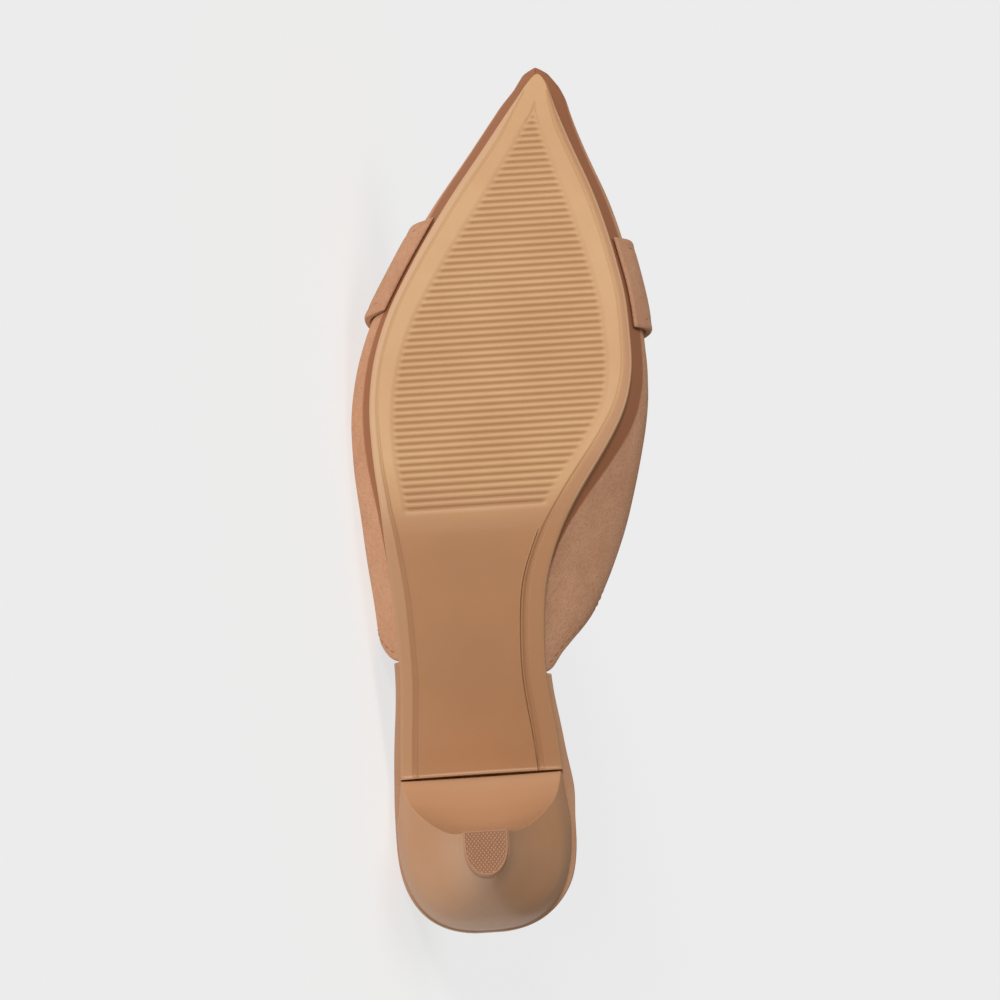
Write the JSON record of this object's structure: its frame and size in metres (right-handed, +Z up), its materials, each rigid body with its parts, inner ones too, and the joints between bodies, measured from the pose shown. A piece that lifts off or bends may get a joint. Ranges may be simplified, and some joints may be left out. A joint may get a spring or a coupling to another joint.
{
  "type": "mule shoe",
  "caption": "Pointed-toe kitten-heel mule for the right foot: backless suede upper with a band across the vamp, moulded outsole and heel.",
  "frame": {"origin": "middle of the bounding box's bottom: the shoe lies on its outer side, and the floor is Z = 0", "axes": "-X towards the toe, +X towards the heel, the sole faces -Y, and +Z is up, towards the shoe's inner side"},
  "size_m": [0.2586, 0.0638, 0.0896],
  "materials": {
    "outsole": "satin",
    "heel": "gloss",
    "top_piece": "matte",
    "insole": "satin",
    "upper": "matte",
    "band": "matte"
  },
  "bodies": {
    "root": {"outsole": "outsole", "heel": "heel", "top_piece": "top_piece", "insole": "insole", "upper": "upper", "band": "band"}
  },
  "joints": []
}
